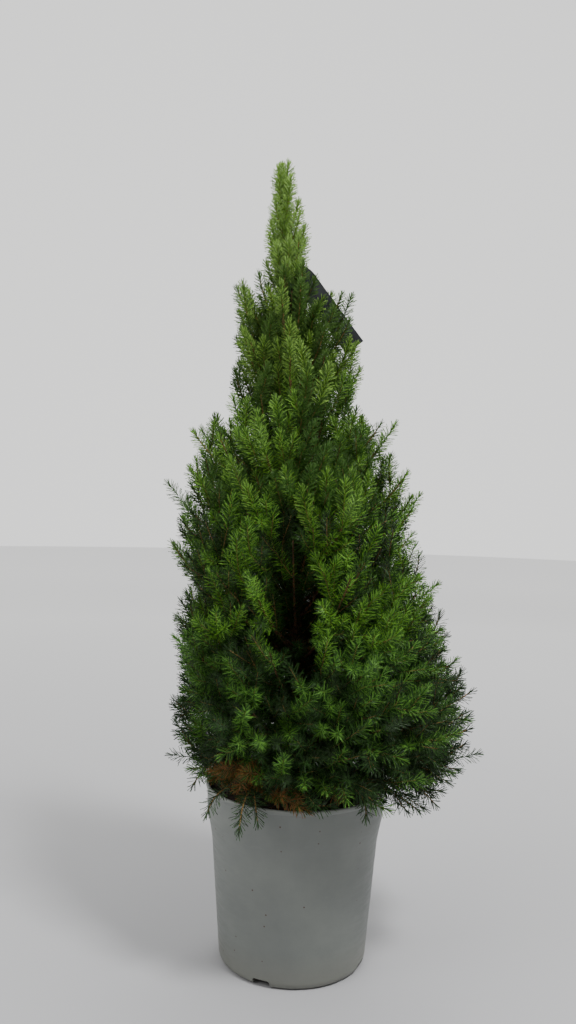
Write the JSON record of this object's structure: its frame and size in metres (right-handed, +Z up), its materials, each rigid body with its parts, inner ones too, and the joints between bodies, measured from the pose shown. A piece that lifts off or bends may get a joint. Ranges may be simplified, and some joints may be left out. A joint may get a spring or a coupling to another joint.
{
  "type": "potted dwarf alberta spruce",
  "caption": "Narrow conical dwarf spruce with steep bushy shoots, one leading shoot and a hanging bare tag, in a round tapered nursery pot with a rolled lip.",
  "frame": {"origin": "middle of the pot's flat underside, on the ground", "axes": "+Z up along the pot's axis, -Y towards the front view, +X to the right of the front view"},
  "size_m": [0.3874, 0.3616, 0.992],
  "materials": {
    "pot_polypropylene": "grey-green moulded polypropylene, satin, lightly scuffed",
    "potting_mix": "damp dark brown peat and bark",
    "bark": "orange-brown young bark, rough",
    "tag_plastic": "black plastic sheet, satin, bare",
    "skirt_needles": "short green spruce needles on orange-brown twigs, skirt tier of the crown",
    "low_needles": "short green spruce needles on orange-brown twigs, low tier of the crown",
    "waist_needles": "short green spruce needles on orange-brown twigs, waist tier of the crown",
    "middle_needles": "short green spruce needles on orange-brown twigs, middle tier of the crown",
    "shoulder_needles": "short green spruce needles on orange-brown twigs, shoulder tier of the crown",
    "upper_needles": "short green spruce needles on orange-brown twigs, upper tier of the crown",
    "high_needles": "short green spruce needles on orange-brown twigs, high tier of the crown",
    "top_needles": "short green spruce needles on orange-brown twigs, top tier of the crown",
    "leader_needles": "short green spruce needles on orange-brown twigs, leader tier of the crown"
  },
  "bodies": {
    "root": {"high_foliage_1": "high_needles", "high_foliage_2": "high_needles", "high_foliage_3": "high_needles", "leader_foliage": "leader_needles", "low_bough_1": "bark", "low_bough_2": "bark", "low_bough_3": "bark", "low_bough_4": "bark", "low_bough_5": "bark", "low_foliage_1": "low_needles", "low_foliage_2": "low_needles", "low_foliage_3": "low_needles", "low_foliage_4": "low_needles", "low_foliage_5": "low_needles", "middle_bough_1": "bark", "middle_bough_2": "bark", "middle_bough_3": "bark", "middle_bough_4": "bark", "middle_foliage_1": "middle_needles", "middle_foliage_2": "middle_needles", "middle_foliage_3": "middle_needles", "middle_foliage_4": "middle_needles", "plant_tag": "tag_plastic", "pot": "pot_polypropylene", "shoulder_bough_1": "bark", "shoulder_bough_2": "bark", "shoulder_bough_3": "bark", "shoulder_bough_4": "bark", "shoulder_foliage_1": "shoulder_needles", "shoulder_foliage_2": "shoulder_needles", "shoulder_foliage_3": "shoulder_needles", "shoulder_foliage_4": "shoulder_needles", "skirt_bough_1": "bark", "skirt_bough_2": "bark", "skirt_bough_3": "bark", "skirt_bough_4": "bark", "skirt_bough_5": "bark", "skirt_foliage_1": "skirt_needles", "skirt_foliage_2": "skirt_needles", "skirt_foliage_3": "skirt_needles", "skirt_foliage_4": "skirt_needles", "skirt_foliage_5": "skirt_needles", "soil": "potting_mix", "top_foliage_1": "top_needles", "top_foliage_2": "top_needles", "top_foliage_3": "top_needles", "top_foliage_4": "top_needles", "trunk": "bark", "upper_foliage_1": "upper_needles", "upper_foliage_2": "upper_needles", "upper_foliage_3": "upper_needles", "upper_foliage_4": "upper_needles", "waist_bough_1": "bark", "waist_bough_2": "bark", "waist_bough_3": "bark", "waist_bough_4": "bark", "waist_foliage_1": "waist_needles", "waist_foliage_2": "waist_needles", "waist_foliage_3": "waist_needles", "waist_foliage_4": "waist_needles"}
  },
  "joints": []
}
